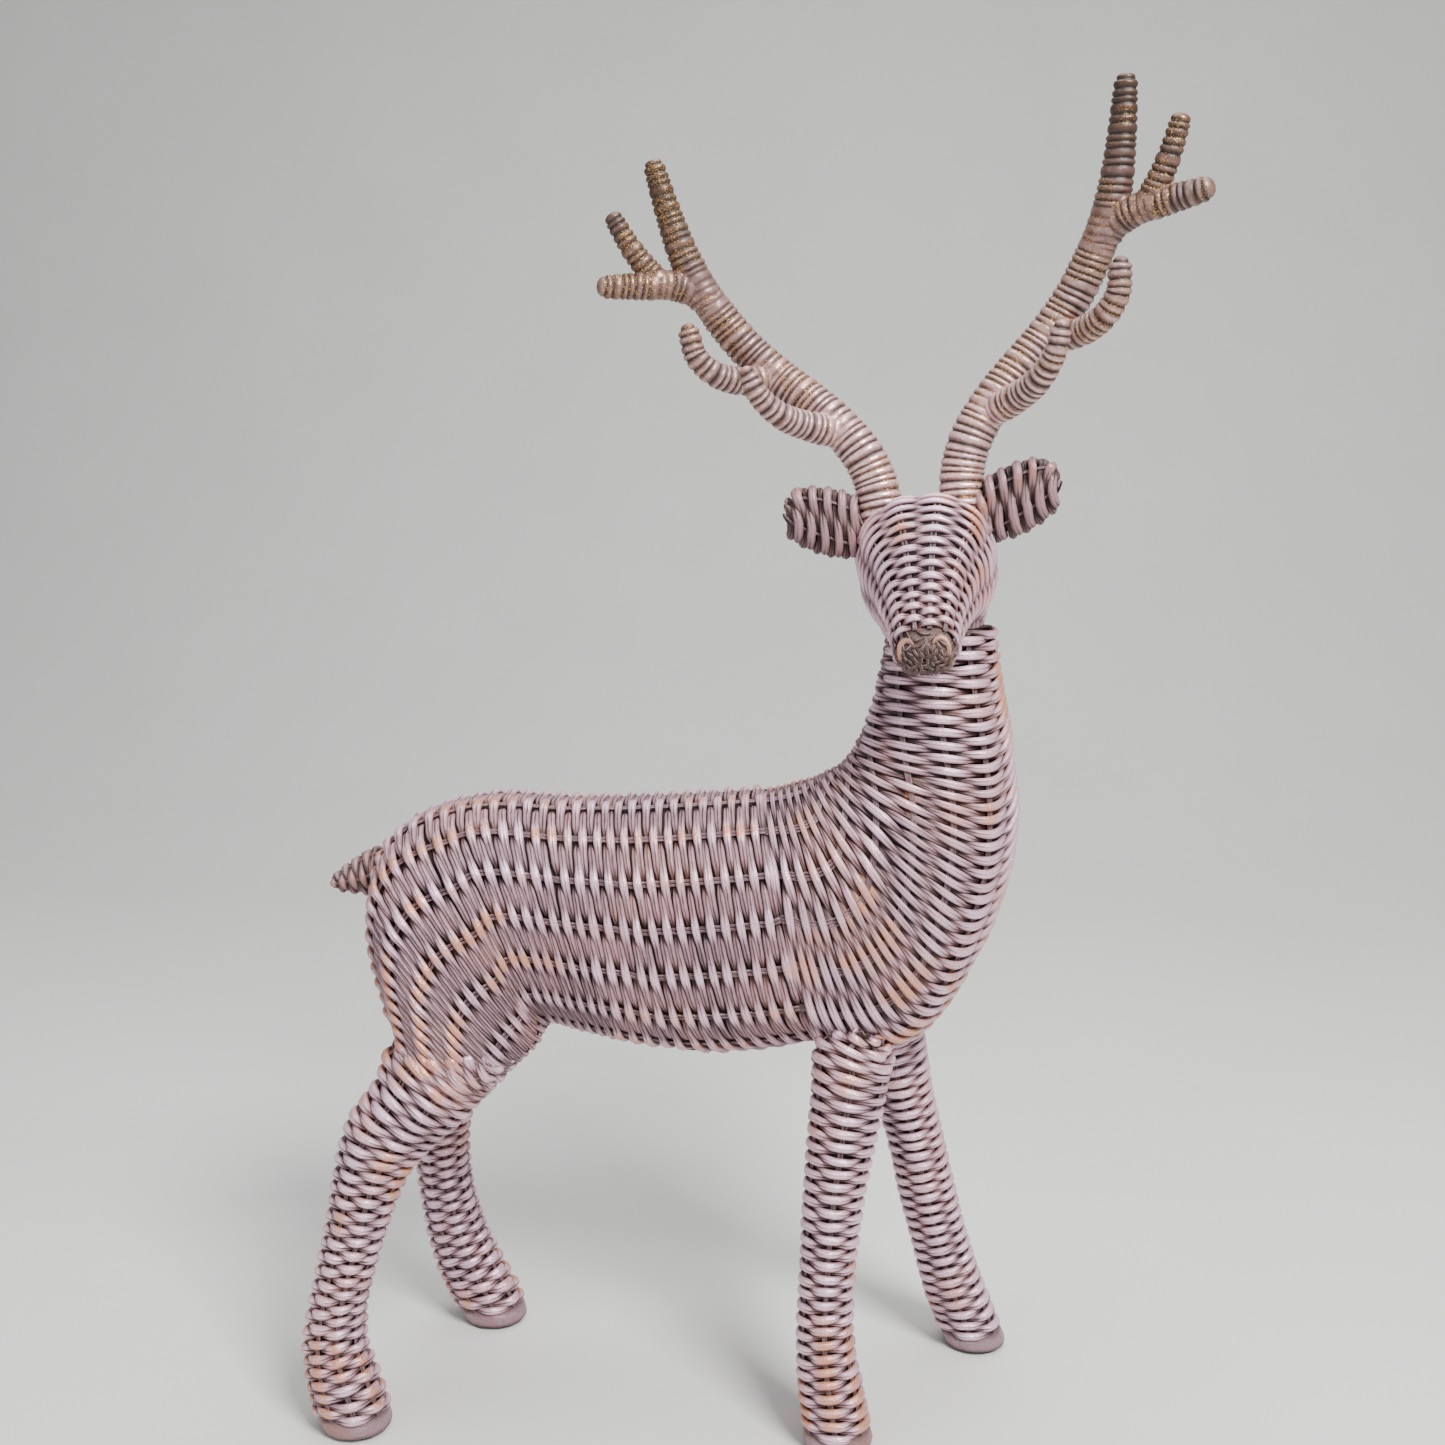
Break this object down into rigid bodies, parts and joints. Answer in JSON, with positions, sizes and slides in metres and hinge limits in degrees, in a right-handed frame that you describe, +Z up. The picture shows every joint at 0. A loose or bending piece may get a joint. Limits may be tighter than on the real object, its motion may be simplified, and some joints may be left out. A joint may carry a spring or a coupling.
{
  "type": "standing stag ornament",
  "caption": "Standing stag ornament in wicker-effect cast resin, head turned to its right, with branching antlers that plug into the head.",
  "frame": {"origin": "on the ground, under the middle of the figure's overall box", "axes": "+X the way the body faces, +Y the stag's left side, +Z up; the head is turned to look along -Y"},
  "size_m": [0.3262, 0.1026, 0.5016],
  "materials": {
    "cast_body": "cast resin painted dark brown and dry-brushed mauve grey metallic, copper on some crests",
    "cast_dark": "cast resin painted dark brown with a light grey-bronze dry brush",
    "cast_bronze": "cast resin painted dark brown with copper-pink and gold metallic dry brush",
    "steel": "plain drawn steel wire and bar",
    "plug_rubber": "moulded stopper, dark brown",
    "felt": "self-adhesive felt disc"
  },
  "bodies": {
    "statue": {"torso_casting": "cast_body", "neck_casting": "cast_body", "head_casting": "cast_body", "ear_left": "cast_dark", "ear_right": "cast_dark", "tail": "cast_dark", "neck_wire": "steel", "pour_hole_plug": "plug_rubber", "leg_front_right": "cast_body", "leg_wire_front_right": "steel", "foot_pad_front_right": "felt", "leg_front_left": "cast_body", "leg_wire_front_left": "steel", "foot_pad_front_left": "felt", "leg_hind_right": "cast_body", "leg_wire_hind_right": "steel", "foot_pad_hind_right": "felt", "leg_hind_left": "cast_body", "leg_wire_hind_left": "steel", "foot_pad_hind_left": "felt"},
    "antler_left": {"antler_left": "cast_bronze", "antler_pin_left": "steel"},
    "antler_right": {"antler_right": "cast_bronze", "antler_pin_right": "steel"}
  },
  "joints": [
    {"name": "antler_left_lift", "type": "slide", "parent": "statue", "child": "antler_left", "axis": [-0.121, 0.0149, 0.9925], "range_m": [0, 0.022]},
    {"name": "antler_right_lift", "type": "slide", "parent": "statue", "child": "antler_right", "axis": [-0.121, 0.0149, 0.9925], "range_m": [0, 0.022]}
  ]
}
